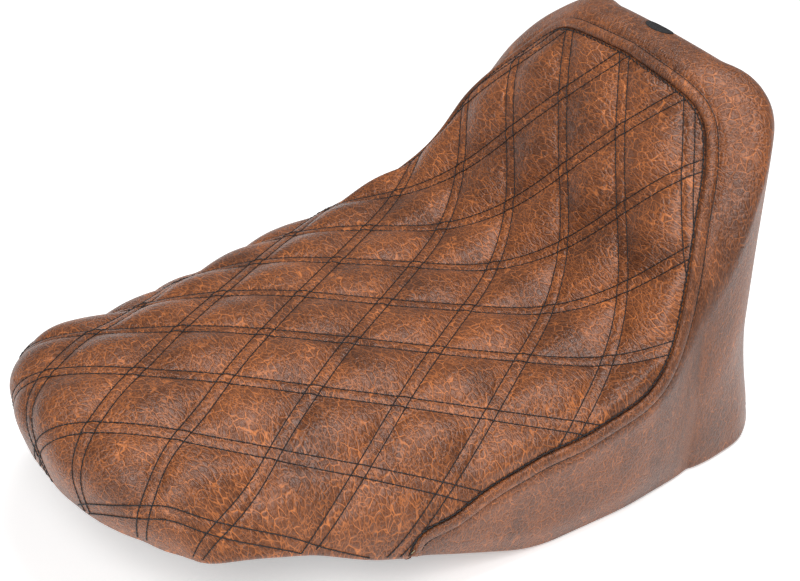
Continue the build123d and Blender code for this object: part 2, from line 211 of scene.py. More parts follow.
def rim_z(x):
    """Level of the cover's bottom edge, with its bends rounded."""
    shifts = range(-RIM_SPREAD, RIM_SPREAD + 1, 6)
    near = [np.interp(x + shift, rim_table[:, 0], rim_table[:, 1]) for shift in shifts]
    return np.mean(near, axis=0)


# The panel's stitched-down surface ---------------------------------------------------------
def section_steps(row, steps=140):
    """Half a cross-section at each row: distance out, drop and length over the vinyl."""
    half, drop, outer, inner = np.moveaxis(shape(row), -1, 0)
    share = np.sin(np.linspace(0, math.pi / 2, steps))
    out = half[:, None] * share
    fall = 1 - (1 - share[None, :] ** outer[:, None]) ** inner[:, None]
    fall = drop[:, None] * fall
    length = np.hypot(np.diff(out, axis=1), np.diff(fall, axis=1)).cumsum(axis=1)
    return out, fall, np.hstack([np.zeros((len(out), 1)), length])


def panel_base(along, across):
    """Points of the surface under the stitches, from flat coordinates."""
    along, across = np.broadcast_arrays(np.asarray(along, float), np.asarray(across, float))
    points = np.empty((along.size, 3))
    flat = np.column_stack([along.ravel(), across.ravel()])
    for start in range(0, len(flat), 20000):
        part = flat[start:start + 20000]
        row = part[:, 0] / ROW
        out, fall, length = section_steps(row)
        reach = np.abs(part[:, 1])
        k = np.clip((length <= reach[:, None]).sum(axis=1) - 1, 0, length.shape[1] - 2)
        pick = np.arange(len(part))
        span = length[pick, k + 1] - length[pick, k]
        share = (reach - length[pick, k]) / np.maximum(span, 1e-9)
        over = np.maximum(reach - length[:, -1], 0)
        share = np.minimum(share, 1)
        y = out[pick, k] + share * (out[pick, k + 1] - out[pick, k])
        drop = fall[pick, k] + share * (fall[pick, k + 1] - fall[pick, k]) + over
        centre = profile(row)
        run = unit(profile(row, slope=True))
        points[start:start + 20000, 0] = centre[:, 0] + run[:, 1] * drop
        points[start:start + 20000, 1] = np.sign(part[:, 1]) * y
        points[start:start + 20000, 2] = centre[:, 1] - run[:, 0] * drop
    first, last = NOSE_BLEND
    share = smoothstep((last * ROW - flat[:, 0]) / ((last - first) * ROW))
    front = share > 0
    if front.any():
        nose = nose_base(flat[front, 0], flat[front, 1])
        mixed = share[front][:, None]
        points[front] = points[front] * (1 - mixed) + nose * mixed
    return points.reshape(along.shape + (3,))


nose_shape = steady(NOSE)


def nose_base(along, across, steps=140):
    """The same surface round the nose, where it is laid out by distance from the nose's middle."""
    middle = profile(NOSE_ROW)
    ahead = NOSE_ROW * ROW - along
    far = np.hypot(ahead, across)
    turn = np.degrees(np.arctan2(np.abs(across), np.maximum(ahead, 1e-6)))
    from_turn, spread, most = NOSE_FLARE
    turn = turn - most * np.sin(math.pi * np.clip((turn - from_turn) / spread, 0, 1)) ** 2
    reach, low, outer, inner = np.moveaxis(nose_shape(turn), -1, 0)
    turn = np.radians(turn)
    share = np.sin(np.linspace(0, math.pi / 2, steps))[None, :]
    out = reach[:, None] * share
    rise = NOSE_RISE * (np.cos(turn) ** 2)[:, None]
    fall = (middle[1] - low)[:, None] + rise
    z = middle[1] + rise * share**1.6 - fall * (1 - (1 - share ** outer[:, None]) ** inner[:, None])
    length = np.hypot(np.diff(out, axis=1), np.diff(z, axis=1)).cumsum(axis=1)
    length = np.hstack([np.zeros((len(out), 1)), length])
    k = np.clip((length <= far[:, None]).sum(axis=1) - 1, 0, steps - 2)
    pick = np.arange(len(far))
    part = (far - length[pick, k]) / np.maximum(length[pick, k + 1] - length[pick, k], 1e-9)
    part = np.minimum(part, 1)
    over = np.maximum(far - length[:, -1], 0)
    tuck = NOSE_TUCK * np.minimum(over / np.maximum(low - NOSE_FLOOR, 15), 1.3) ** 2
    radius = out[pick, k] + part * (out[pick, k + 1] - out[pick, k]) - tuck
    height = z[pick, k] + part * (z[pick, k + 1] - z[pick, k]) - over
    y = np.sign(across) * radius * np.sin(turn)
    skew = np.maximum(y + 30, 0)
    x = middle[0] - radius * np.cos(turn) - NOSE_SKEW * skew**2 / (skew + 25) * smoothstep(far / 120)
    return np.column_stack([x, y, height])


def panel_normal(along, across, step=2.5):
    """Outward unit normals of that surface."""
    length = panel_base(along + step, across) - panel_base(along - step, across)
    width = panel_base(along, across + step) - panel_base(along, across - step)
    return unit(np.cross(length, width))


def line_places(along, across, way):
    """Place among the sewn lines that slant one way: nearest line, signed distance to it."""
    phase = (along - way * SLANT * across) / LINE_STEP
    nearest = np.round(phase)
    return nearest, (phase - nearest) * LINE_GAP


def variation(a, b, seed):
    """A repeatable number from -1 to 1 for each pair of whole numbers."""
    mixed = np.sin(a * 127.1 + b * 311.7 + seed * 74.7) * 43758.5453
    return 2 * (mixed - np.floor(mixed)) - 1


def quilt_relief(along, across):
    """How far the vinyl stands above the stitched-down surface."""
    line_a, gap_a = line_places(along, across, 1)
    line_b, gap_b = line_places(along, across, -1)
    far = LINE_GAP / 2 - GAUGE
    inside_a = (np.abs(gap_a) - GAUGE) / far
    inside_b = (np.abs(gap_b) - GAUGE) / far
    cell_a = line_a + (gap_a > 0)
    cell_b = line_b + (gap_b > 0)
    height = PUFF * (1 + 0.07 * variation(cell_a, cell_b, 1))
    height = height * (1 + 0.30 * np.exp(-(((along / ROW) - 8.2) / 1.3) ** 2))
    hump_a = (1 - (1 - np.clip(inside_a, 0, 1)) ** 2.1) ** 0.85
    hump_b = (1 - (1 - np.clip(inside_b, 0, 1)) ** 2.1) ** 0.85
    puff = height * hump_a * hump_b
    crown_a = np.clip(1 - (gap_a / GAUGE) ** 2, 0, 1)
    crown_b = np.clip(1 - (gap_b / GAUGE) ** 2, 0, 1)
    strip = 1.0 * np.maximum(crown_a * smoothstep(1 + inside_b * far / 3.0),
                             crown_b * smoothstep(1 + inside_a * far / 3.0))
    pucker = 0.0
    for gap, way in ((gap_a, 1), (gap_b, -1)):
        lengthwise = (across + way * SLANT * along) / math.hypot(1, SLANT)
        fade = np.exp(-np.abs(np.abs(gap) - GAUGE) / 2.6)
        pucker = pucker + 0.20 * fade * np.cos(2 * math.pi * lengthwise / (2 * PITCH))
    return puff + strip + pucker * (puff > 0)


# The seam and the outline of the flat panel -------------------------------------------------
def resample(points, step):
    """Points evenly spaced along a polyline, ends kept."""
    points = np.asarray(points, float)
    travel = np.r_[0, np.linalg.norm(np.diff(points, axis=0), axis=1).cumsum()]
    count = max(2, int(round(travel[-1] / step)) + 1)
    even = np.linspace(0, travel[-1], count)
    return np.column_stack([np.interp(even, travel, column) for column in points.T])


def seam_flat():
    """The seam's right half in flat coordinates, from the rim to the centre of the top."""
    knots = np.array(SEAM, float)
    knots[:, 0] *= ROW
    travel = np.r_[0, np.linalg.norm(np.diff(knots, axis=0), axis=1).cumsum()]
    curve = natural_cubic(np.column_stack([travel, knots]))
    fine = curve(np.linspace(0, travel[-1], 1200))
    solid = panel_base(fine[:, 0], fine[:, 1])
    above = solid[:, 2] > rim_z(solid[:, 0]) + ROLL
    first = int(np.argmax(above))
    even = resample(np.hstack([solid[first:], fine[first:]]), BAND_STEP)
    return even[:, 3:]


def rim_flat(end):
    """The right half of the nose's bottom edge in flat coordinates, from the centre to the seam."""
    middle = np.array([3.0 * ROW, 0.0])
    last = math.atan2(end[1] - middle[1], middle[0] - end[0])
    edge = []
    radii = np.arange(20, 300, 1.0)
    for turn in np.linspace(0, last, 240)[:-1]:
        along = middle[0] - radii * math.cos(turn)
        across = radii * math.sin(turn)
        solid = panel_base(along, across)
        height = solid[:, 2] - rim_z(solid[:, 0]) - ROLL
        k = int(np.argmax(height < 0))
        share = height[k - 1] / (height[k - 1] - height[k])
        radius = radii[k - 1] + share
        edge.append((middle[0] - radius * math.cos(turn), radius * math.sin(turn)))
    edge.append(tuple(end))
    return resample(edge, MESH)


seam_right = seam_flat()
rim_right = rim_flat(seam_right[0])
outline = np.vstack([rim_right, seam_right[1:]])
mirrored = outline[1:-1][::-1] * (1, -1)
outline = np.vstack([outline, mirrored])
rim_count = len(rim_right)


def inside(points, loop=outline):
    """Which flat points lie inside a closed outline."""
    ends = np.roll(loop, -1, axis=0)
    within = np.zeros(len(points), bool)
    for (a0, c0), (a1, c1) in zip(loop, ends):
        crosses = (c0 > points[:, 1]) != (c1 > points[:, 1])
        if c0 != c1:
            where = a0 + (points[:, 1] - c0) * (a1 - a0) / (c1 - c0)
            within ^= crosses & (points[:, 0] < where)
    return within


def nearest_to(points):
    """A function giving the distance from other points to the nearest of these."""
    points = np.asarray(points, float)
    tree = KDTree(len(points))
    for k, point in enumerate(points):
        tree.insert(tuple(point) + (0,) * (3 - len(point)), k)
    tree.balance()

    def distance(others):
        pad = (0,) * (3 - others.shape[1])
        return np.array([tree.find(tuple(p) + pad)[2] for p in others])

    return distance


def both_sides(edge):
    """A half outline, finely spaced, with its mirror image."""
    fine = resample(edge, 0.5)
    return np.vstack([fine, fine * (1, -1)])


to_seam = nearest_to(both_sides(seam_right))
to_rim = nearest_to(both_sides(rim_right))


def panel_surface(along, across, lift=0.0):
    """The finished outside of the panel, from flat coordinates, raised by lift."""
    flat = np.column_stack([along, across])
    seam_gap = to_seam(flat)
    rim_gap = to_rim(flat)
    relief = quilt_relief(along, across)
    relief = relief * smoothstep(seam_gap / 9) ** 0.8 * (0.10 + 0.90 * smoothstep(rim_gap / 55))
    relief = relief - DITCH * np.exp(-((seam_gap / 1.3) ** 2))
    normal = panel_normal(along, across)
    return panel_base(along, across) + normal * (relief + lift)[:, None], normal


# Meshes -------------------------------------------------------------------------------------
def new_mesh(name, points, faces):
    """A mesh object from points in millimetres."""
    mesh = bpy.data.meshes.new(name)
    mesh.from_pydata([tuple(p) for p in np.asarray(points) * MM], [], faces)
    mesh.validate()
    mesh.update()
    mesh.polygons.foreach_set("use_smooth", [True] * len(mesh.polygons))
    piece = bpy.data.objects.new(name, mesh)
    bpy.context.scene.collection.objects.link(piece)
    return piece


def thicken(piece, thickness):
    """Gives a skin its thickness, inwards."""
    layer = piece.modifiers.new("thickness", "SOLIDIFY")
    layer.thickness = thickness * MM
    layer.offset = -1
    layer.use_rim = True


def lay_flat(piece, places):
    """Gives a skin its place on the flat vinyl, in metres, as its UV map."""
    layer = piece.data.uv_layers.new(name="flat")
    corners = np.zeros(len(piece.data.loops), int)
    piece.data.loops.foreach_get("vertex_index", corners)
    layer.data.foreach_set("uv", (places * MM)[corners].ravel())


def skin_tree(skin):
    """A skin's outside, for finding its nearest points."""
    mesh = skin.data
    return BVHTree.FromPolygons([v.co for v in mesh.vertices], [f.vertices for f in mesh.polygons])


def finished(piece, body, material, slot, *nodes):
    """Material, body and the CAD nodes that a piece stands for. The slot argument is not used."""
    piece.data.materials.clear()
    piece.data.materials.append(material)
    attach(piece, body)
    if nodes:
        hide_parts(*nodes)
    return piece


def hem_rings(edge, outward):
    """Rings of points that roll the cover's bottom edge under and run inwards."""
    rings = []
    outward = np.column_stack([outward, np.zeros(len(outward))])
    down = np.array([0, 0, -1.0])
    for turn in np.radians([25, 50, 75, 90]):
        rings.append(edge - outward * ROLL * (1 - math.cos(turn)) + down * ROLL * math.sin(turn))
    flat_start = rings[-1]
    for share in (0.25, 0.5, 0.75, 1.0):
        ring = flat_start - outward * HEM * share
        ring[:, 2] = rim_z(ring[:, 0])
        rings.append(ring)
    return rings


def outward_of(loop):
    """Unit normals of a plan outline, pointing away from the seat's middle."""
    run = np.gradient(loop[:, :2], axis=0)
    side = unit(np.column_stack([run[:, 1], -run[:, 0]]))
    flip = np.sign((side * loop[:, :2]).sum(axis=1))
    return side * flip[:, None]


def quilt_grid():
    """Flat mesh points of the panel: its outline, the stitch rows and an even filling."""
    low, high = outline.min(axis=0), outline.max(axis=0)
    rows = []
    for way in (1, -1):
        for line in range(-6, 16):
            for side in (-GAUGE, GAUGE):
                across = np.arange(low[1], high[1], MESH / math.hypot(1, SLANT))
                offset = side * math.hypot(1, SLANT)
                rows.append(np.column_stack([line * LINE_STEP + way * SLANT * across + offset, across]))
    rows = np.vstack(rows)
    height = MESH * math.sqrt(3) / 2
    lines = np.arange(low[0], high[0], height)
    fill = []
    for k, along in enumerate(lines):
        across = np.arange(low[1] + (k % 2) * MESH / 2, high[1], MESH)
        fill.append(np.column_stack([np.full(len(across), along), across]))
    fill = np.vstack(fill)
    for way in (1, -1):
        gap = np.abs(np.abs(line_places(fill[:, 0], fill[:, 1], way)[1]) - GAUGE)
        fill = fill[gap > 0.55 * MESH]
    kept, cells = [], {}
    for point in np.vstack([rows, fill]):
        cell = (round(point[0] / 0.9), round(point[1] / 0.9))
        if cell not in cells:
            cells[cell] = True
            kept.append(point)
    kept = np.array(kept)
    kept = kept[inside(kept)]
    near = nearest_to(outline)(kept)
    return kept[near > 0.75 * MESH]


def flat_mesh(edge, inner):
    """Triangles of a flat outline with inner points: places, faces and where the outline went."""
    flat = [Vector(p) for p in edge] + [Vector(p) for p in inner]
    made = delaunay_2d_cdt(flat, [], [list(range(len(edge)))], 1, 1e-5, True)
    now = {given: k for k, sources in enumerate(made[3]) for given in sources}
    points = np.array([tuple(p) for p in made[0]])
    faces = [tuple(f) for f in made[2]]
    middles = np.array([points[list(f)].mean(axis=0) for f in faces])
    kept = inside(middles, edge)
    return points, [f for f, keep in zip(faces, kept) if keep], now


def make_panel(vinyl):
    points, faces, now = flat_mesh(outline, quilt_grid())
    solid, _ = panel_surface(points[:, 0], points[:, 1])
    first, second, third = (solid[[f[k] for f in faces]] for k in range(3))
    facing = np.cross(second - first, third - first)
    normal = panel_normal(points[:, 0], points[:, 1])[[f[0] for f in faces]]
    if (facing * normal).sum() < 0:
        faces = [f[::-1] for f in faces]
    # the hem continues the rim part of the outline, from the left seam round the nose
    rim_loop = np.vstack([(rim_right * (1, -1))[::-1], rim_right[1:]])
    order = [(len(outline) - k) % len(outline) for k in range(rim_count)][::-1]
    index = [now[k] for k in order + list(range(1, rim_count))]
    edge = solid[index]
    rings = hem_rings(edge, outward_of(edge))
    solid_all = [solid] + rings
    base = len(solid)
    count = len(index)
    previous = index
    for k in range(len(rings)):
        current = [base + k * count + m for m in range(count)]
        for m in range(count - 1):
            faces.append((previous[m], previous[m + 1], current[m + 1], current[m]))
        previous = current
    piece = new_mesh("quilted_panel_vinyl", np.vstack(solid_all), faces)
    lay_flat(piece, np.vstack([points] + [rim_loop] * len(rings)))
    thicken(piece, SKIN)
    return finished(piece, "seat", vinyl, "panel_vinyl", "quilted_panel")


# Band ------------------------------------------------------------------------------------------
side_rib = steady(SIDE)
corner_rib = steady(CORNER)


def rib(start):
    """A rib of the band from a seam point to the rim, as (reach, z) points, and its plan line."""
    x, y, z = start
    if x <= PIVOT[0]:
        origin, out = np.array([x, PIVOT[1]]), np.array([0.0, 1.0])
        drop, bulge, middle, foot, angle = side_rib(x)
        crest_z = z - drop
        crest, waist, rim = bulge - PIVOT[1], middle - PIVOT[1], foot - PIVOT[1]
    else:
        turn = math.degrees(math.atan2(x - PIVOT[0], max(y - PIVOT[1], 0)))
        crest_z, crest, waist, rim, angle = corner_rib(turn)
        crest_z = min(crest_z, z + 12)
        if turn >= 90:
            origin, out = np.array([PIVOT[0], y]), np.array([1.0, 0.0])
        else:
            origin = np.array(PIVOT)
            out = np.array([math.sin(math.radians(turn)), math.cos(math.radians(turn))])
    reach = float(np.dot(np.array([x, y]) - origin, out))
    foot_xy = origin + out * rim
    bottom = float(rim_z(foot_xy[0])) + ROLL
    crest_z = max(crest_z, bottom + 0.3 * (z - bottom))
    crest = max(crest, reach + 0.2)
    angle = math.radians(float(angle))
    start_point, end_point = np.array([reach, z]), np.array([crest, crest_z])
    turned = max(angle + math.pi / 2, 0.2)
    pull = 2 / 3 * math.tan(turned / 4) / math.sin(turned / 2)
    pull *= np.linalg.norm(end_point - start_point)
    handles = [start_point, start_point + pull * np.array([math.cos(angle), math.sin(angle)]),
               end_point + np.array([0, pull]), end_point]
    t = np.linspace(0, 1, 60)[:, None]
    curve = ((1 - t) ** 3 * handles[0] + 3 * (1 - t) ** 2 * t * handles[1]
             + 3 * (1 - t) * t * t * handles[2] + t**3 * handles[3])
    levels = np.linspace(crest_z, bottom, 80)[1:]
    waist_z = bottom + 0.45 * (crest_z - bottom)
    upper = smoothstep((crest_z - levels) / (crest_z - waist_z))
    lower = np.clip((waist_z - levels) / (waist_z - bottom), 0, 1) ** 1.7
    wall = crest + (waist - crest) * upper + (rim - waist) * lower
    return np.vstack([curve, np.column_stack([wall, levels])]), origin, out


def band_grid():
    """The band's right half before its relief, as (ribs, rings, 3)."""
    seam = panel_base(seam_right[:, 0], seam_right[:, 1])
    grid = []
    for start in seam:
        line, origin, out = rib(start)
        travel = np.r_[0, np.linalg.norm(np.diff(line, axis=0), axis=1).cumsum()]
        near = min(NEAR, 0.5 * travel[-1])
        beyond = np.linspace(near, travel[-1], FAR_RINGS + 1)[1:]
        places = np.r_[np.linspace(0, near, NEAR_RINGS + 1), beyond]
        reach, z = (np.interp(places, travel, column) for column in line.T)
        grid.append(np.column_stack([origin[0] + out[0] * reach, origin[1] + out[1] * reach, z]))
    return np.array(grid)


def even_out(grid, rounds):
    """Relaxes the band's ribs against each other, keeping the seam and the ends."""
    for _ in range(rounds):
        soft = (grid[:-2] + 2 * grid[1:-1] + grid[2:]) / 4
        soft[:, 0] = grid[1:-1, 0]
        grid[1:-1] = soft
    return grid


def grid_normals(grid):
    """Unit normals of a grid of points."""
    length = np.gradient(grid, axis=0)
    width = np.gradient(grid, axis=1)
    return unit(np.cross(width, length))


def fold_relief(gap):
    """The raised fold beside the seam and the dent of its topstitch."""
    fold = FOLD_HEIGHT * np.sqrt(np.clip(1 - ((gap - 4.6) / 4.4) ** 2, 0, 1))
    fold = fold - DITCH * np.exp(-((gap / 1.5) ** 2)) - 0.8 * np.exp(-(((gap - FOLD) / 1.1) ** 2))
    return fold + 1.2 * smoothstep((gap - FOLD) / 7)


def make_band(vinyl):
    half = even_out(band_grid(), 12)
    grid = np.concatenate([half, (half[:-1] * (1, -1, 1))[::-1]])
    seam = grid[:, 0]
    gap = nearest_to(resample(seam, 0.7))(grid.reshape(-1, 3)).reshape(grid.shape[:2])
    normal = grid_normals(grid)
    middle = len(half) - 1
    if normal[middle, NEAR_RINGS // 2, 2] < 0:
        normal = -normal
    flat = np.vstack([seam_right, (seam_right[:-1] * (1, -1))[::-1]])
    seam_normal = panel_normal(flat[:, 0], flat[:, 1])[:, None]
    blend = smoothstep(gap / 5)[..., None]
    normal = unit(seam_normal * (1 - blend) + normal * blend)
    length = np.linalg.norm(np.diff(grid, axis=1), axis=2).sum(axis=1)
    strength = smoothstep(length / 40)[:, None]
    relief = fold_relief(gap) * np.where(gap > 2, strength, 1)
    rest = np.linalg.norm(grid - grid[:, -1:], axis=2)
    relief = relief * np.where(gap > FOLD, smoothstep(rest / 20), 1)
    solid = grid + normal * relief[..., None]
    edge = solid[:, -1]
    rings = hem_rings(edge, outward_of(edge))
    full = np.concatenate([solid, np.stack(rings, axis=1)], axis=1)
    ribs, count = full.shape[:2]
    faces = [(r * count + c, (r + 1) * count + c, (r + 1) * count + c + 1, r * count + c + 1)
             for r in range(ribs - 1) for c in range(count - 1)]
    facing = np.cross(full[middle + 1, 5] - full[middle, 5], full[middle, 6] - full[middle, 5])
    if (facing * normal[middle, 5]).sum() < 0:
        faces = [f[::-1] for f in faces]
    piece = new_mesh("cover_band_vinyl", full.reshape(-1, 3), faces)
    around = np.r_[0, np.linalg.norm(np.diff(seam, axis=0), axis=1).cumsum()]
    steps = np.linalg.norm(np.diff(full, axis=1), axis=2)
    down = np.concatenate([np.zeros((ribs, 1)), steps.cumsum(axis=1)], axis=1)
    lay_flat(piece, np.stack([np.repeat(around[:, None], count, axis=1), down], axis=2).reshape(-1, 2))
    thicken(piece, SKIN)
    finished(piece, "seat", vinyl, "band_vinyl", "cover_band")
    return piece, solid, normal, gap


# Thread ------------------------------------------------------------------------------------------
def stitches(name, starts, ends, normals, radius, rise):
    """Separate stitches, each a short round thread that dips into the vinyl at both ends."""
    places = np.array([0.0, 0.12, 0.35, 0.65, 0.88, 1.0])
    heights = np.array([-0.5, 0.2, 1.0, 1.0, 0.2, -0.5]) * rise
    widths = np.array([0.75, 0.95, 1.0, 1.0, 0.95, 0.75]) * radius
    sides = 7
    run = unit(ends - starts)
    side = unit(np.cross(run, normals))
    up = np.cross(side, run)
    spine = starts[:, None] + (ends - starts)[:, None] * places[None, :, None]
    spine = spine + up[:, None] * (heights + 0.35 * radius)[None, :, None]
    turns = np.linspace(0, 2 * math.pi, sides, endpoint=False)
    ring = (side[:, None, None] * np.cos(turns)[None, None, :, None]
            + up[:, None, None] * np.sin(turns)[None, None, :, None])
    points = spine[:, :, None] + ring * widths[None, :, None, None]
    count = len(places) * sides
    one = [(r * sides + k, r * sides + (k + 1) % sides, (r + 1) * sides + (k + 1) % sides,
            (r + 1) * sides + k) for r in range(len(places) - 1) for k in range(sides)]
    one.append(tuple(range(sides))[::-1])
    one.append(tuple((len(places) - 1) * sides + k for k in range(sides)))
    faces = [tuple(s * count + v for v in face) for s in range(len(starts)) for face in one]
    return new_mesh(name, points.reshape(-1, 3), faces)


def make_quilting(thread):
    """The two rows of stitches on either side of every slanting line."""
    starts, ends = [], []
    for way in (1, -1):
        for line in range(-6, 16):
            for side in (-GAUGE, GAUGE):
                step = PITCH / math.hypot(1, SLANT)
                across = np.arange(-260, 260, step) + 0.3 * side
                along = line * LINE_STEP + way * SLANT * across + side * math.hypot(1, SLANT)
                flat = np.column_stack([along, across])
                keep = inside(flat)
                keep = keep[:-1] & keep[1:]
                starts.append(flat[:-1][keep])
                ends.append(flat[1:][keep])
    starts, ends = np.vstack(starts), np.vstack(ends)
    from_points, normals = panel_surface(starts[:, 0], starts[:, 1])
    to_points, _ = panel_surface(ends[:, 0], ends[:, 1])
    gap = 0.02 * (to_points - from_points)
    piece = stitches("quilting_thread", from_points + gap, to_points - gap, normals, *QUILTING_THREAD)
    return finished(piece, "seat", thread, "panel_vinyl")


def make_seam_thread(thread):
    """Coarse stitches in the seam, on the panel's side."""
    flat = np.vstack([seam_right, (seam_right[:-1] * (1, -1))[::-1]])
    inward = np.gradient(flat, axis=0)
    inward = unit(np.column_stack([inward[:, 1], -inward[:, 0]]))
    if (inward[len(flat) // 4] * (np.array([6 * ROW, 0]) - flat[len(flat) // 4])).sum() < 0:
        inward = -inward
    line = resample(flat + inward * 1.0, SEAM_PITCH)
    side = resample(flat + inward * 1.9, SEAM_PITCH)
    count = min(len(line), len(side))
    starts, _ = panel_surface(line[:count - 1, 0], line[:count - 1, 1])
    ends, normals = panel_surface(side[1:count, 0], side[1:count, 1])
    gap = 0.03 * (ends - starts)
    piece = stitches("seam_thread", starts + gap, ends - gap, normals, *SEAM_THREAD)
    return finished(piece, "seat", thread, "band_vinyl")


def make_topstitch(solid, normal, gap, thread):
    """One row of stitches along the fold beside the seam."""
    line, ups = [], []
    for r in range(len(solid)):
        beyond = np.argmax(gap[r] > FOLD)
        if beyond == 0:
            continue
        share = (FOLD - gap[r, beyond - 1]) / (gap[r, beyond] - gap[r, beyond - 1])
        line.append(solid[r, beyond - 1] + share * (solid[r, beyond] - solid[r, beyond - 1]))
        ups.append(normal[r, beyond])
    both = resample(np.hstack([np.array(line), np.array(ups)]), TOPSTITCH_PITCH)
    points, ups = both[:, :3], unit(both[:, 3:])
    run = 0.04 * (points[1:] - points[:-1])
    starts, ends = points[:-1] + run, points[1:] - run
    piece = stitches("topstitch_thread", starts, ends, ups[:-1], *TOPSTITCH_THREAD)
    return finished(piece, "seat", thread, "band_vinyl")


def make_oval(skin, thread):
    """A plain satin-stitched oval on top of the back roll."""
    tree = skin_tree(skin)

    def on_skin(x, y):
        spot, facing, _, _ = tree.ray_cast(Vector((x * MM, y * MM, 0.4)), Vector((0, 0, -1)))
        return np.array(spot) / MM, np.array(facing)

    centre, half_length, half_width = OVAL
    starts, ends, ups = [], [], []
    for y in np.arange(-half_width + 0.4, half_width, OVAL_PITCH):
        half = half_length * math.sqrt(1 - (y / half_width) ** 2)
        middle, up = on_skin(centre, y)
        for side in (-1, 1):
            edge, _ = on_skin(centre + side * half, y + 0.2)
            starts.append(middle)
            ends.append(edge)
            ups.append(up)
    piece = stitches("satin_oval", np.array(starts), np.array(ends), np.array(ups), *OVAL_THREAD)
    return finished(piece, "seat", thread, "band_vinyl")


# Foam -------------------------------------------------------------------------------------------
def press_in(mesh, skin, depth):
    """Moves a mesh's points inwards until they lie at least this deep under a skin."""
    tree = skin_tree(skin)
    for vertex in mesh.vertices:
        near, facing, _, _ = tree.find_nearest(vertex.co, PRESS_REACH * MM)
        if near is not None and (vertex.co - near).dot(facing) > -depth * MM:
            vertex.co = near - facing * depth * MM


def make_quilt_foam(panel, foam):
    """The plush foam sewn to the back of the panel, puffed with it."""
    run = np.roll(outline, -1, axis=0) - np.roll(outline, 1, axis=0)
    inward = unit(np.column_stack([-run[:, 1], run[:, 0]]))
    if inward[0][0] < 0:
        inward = -inward
    from_edge = nearest_to(outline)
    edge = outline + FOAM_INSET * inward
    edge = edge[from_edge(edge) > FOAM_INSET - 0.3][::3]
    low, high = outline.min(axis=0), outline.max(axis=0)
    places = [np.arange(low[k], high[k], FOAM_STEP) for k in (0, 1)]
    fill = np.array([(along, across) for along in places[0] for across in places[1]])
    fill = fill[inside(fill)]
    fill = fill[from_edge(fill) > FOAM_INSET + 0.7 * FOAM_STEP]
    points, faces, _ = flat_mesh(edge, fill)
    solid, normal = panel_surface(points[:, 0], points[:, 1], -SKIN - FOAM_GAP)
    corner, second, third = solid[list(faces[0])]
    if np.dot(np.cross(second - corner, third - corner), normal[faces[0][0]]) < 0:
        faces = [f[::-1] for f in faces]
    piece = new_mesh("quilt_foam_layer", solid, faces)
    press_in(piece.data, panel, FOAM_DEPTH)
    thicken(piece, FOAM_THICKNESS)
    return finished(piece, "seat", foam, "sew_foam", "quilt_foam")


def make_core(skins, foam):
    """The moulded foam: the CAD solid evened out, then pressed in wherever a skin lies closer."""
    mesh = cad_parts["seat_foam"].data.copy()
    piece = bpy.data.objects.new("moulded_foam_core", mesh)
    bpy.context.scene.collection.objects.link(piece)
    remesh = piece.modifiers.new("even", "REMESH")
    remesh.mode = "VOXEL"
    remesh.voxel_size = FOAM_STEP * MM
    graph = bpy.context.evaluated_depsgraph_get()
    even = bpy.data.meshes.new_from_object(piece.evaluated_get(graph))
    piece.modifiers.clear()
    piece.data = even
    for skin, depth in zip(skins, CORE_CLEAR):
        press_in(even, skin, depth)
    for vertex in even.vertices:
        vertex.co.z = max(vertex.co.z, (float(rim_z(vertex.co.x / MM)) + FLANGE_TOP) * MM)
    even.polygons.foreach_set("use_smooth", [True] * len(even.polygons))
    return finished(piece, "seat", foam, "moulded_foam", "seat_foam")


